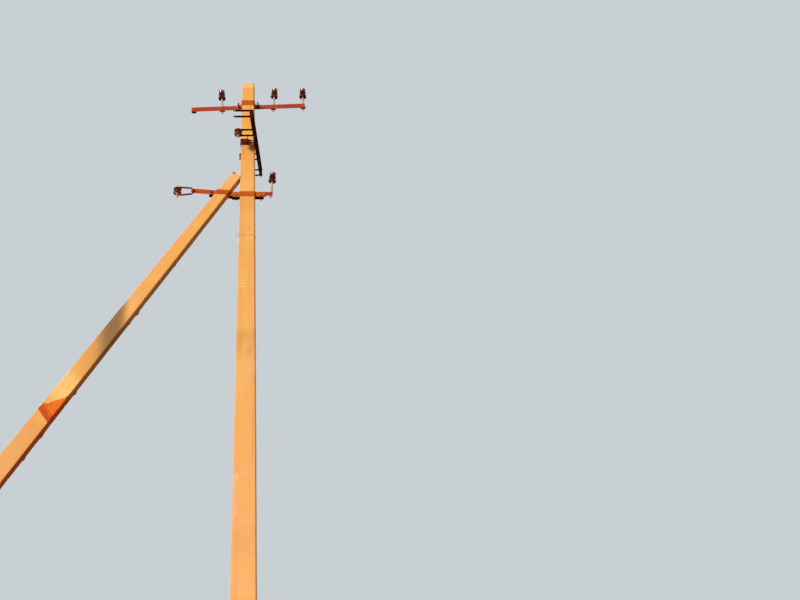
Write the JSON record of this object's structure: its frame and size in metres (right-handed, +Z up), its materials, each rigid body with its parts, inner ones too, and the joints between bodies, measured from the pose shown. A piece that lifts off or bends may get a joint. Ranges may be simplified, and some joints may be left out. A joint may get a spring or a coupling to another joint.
{
  "type": "concrete utility pole with strut",
  "caption": "Tapered concrete line pole with a leaning concrete strut, rusty cross-arms and clamps, and brown pin and shackle insulators.",
  "frame": {"origin": "middle of the main pole's foot, at ground level", "axes": "+Z up the main pole, +X along the top cross-arm and away from the strut, +Y toward the back, where the top cross-arm is"},
  "size_m": [5.1829, 1.3318, 7.5],
  "materials": {
    "concrete": "cast concrete, warm buff, board marks and pits",
    "rusty_steel": "rusted mild steel, orange-red",
    "dark_rusty_steel": "old dark red paint and brown rust",
    "rusty_bolts": "rusted bolts, brown",
    "zinc_pins": "dull galvanised steel",
    "glazed_porcelain": "dark brown glaze, glossy"
  },
  "bodies": {
    "root": {"main_pole": "concrete", "strut_pole": "concrete", "top_crossarm": "rusty_steel", "top_clamp_strap": "rusty_steel", "pole_clamp_strap": "rusty_steel", "lower_arm": "rusty_steel", "strut_clamp_bar": "rusty_steel", "end_strap": "rusty_steel", "branch_straps_1": "rusty_steel", "branch_straps_2": "rusty_steel", "branch_straps_3": "rusty_steel", "branch_straps_4": "rusty_steel", "pole_back_bar": "dark_rusty_steel", "strut_back_bar": "dark_rusty_steel", "branch_channel": "dark_rusty_steel", "branch_saddle": "dark_rusty_steel", "top_clamp_bolt_left": "rusty_bolts", "top_clamp_bolt_right": "rusty_bolts", "neutral_bolt": "rusty_bolts", "lower_arm_bolt": "rusty_bolts", "clamp_bolt_shared": "rusty_bolts", "clamp_bolt_right": "rusty_bolts", "strut_clamp_bolt": "rusty_bolts", "end_strap_bolt": "rusty_bolts", "saddle_bolts_front": "rusty_bolts", "saddle_bolts_rear": "rusty_bolts", "branch_strap_bolts": "rusty_bolts", "pin_left": "zinc_pins", "pin_inner_right": "zinc_pins", "pin_outer_right": "zinc_pins", "pin_lower": "zinc_pins", "end_shackle_bolt": "zinc_pins", "branch_shackle_bolts": "zinc_pins", "wire_tie": "zinc_pins", "pin_insulator_left": "glazed_porcelain", "pin_insulator_inner_right": "glazed_porcelain", "pin_insulator_outer_right": "glazed_porcelain", "pin_insulator_lower": "glazed_porcelain", "end_shackle_insulator": "glazed_porcelain", "branch_insulator_2": "glazed_porcelain", "branch_insulator_3": "glazed_porcelain", "branch_insulator_4": "glazed_porcelain"}
  },
  "joints": []
}
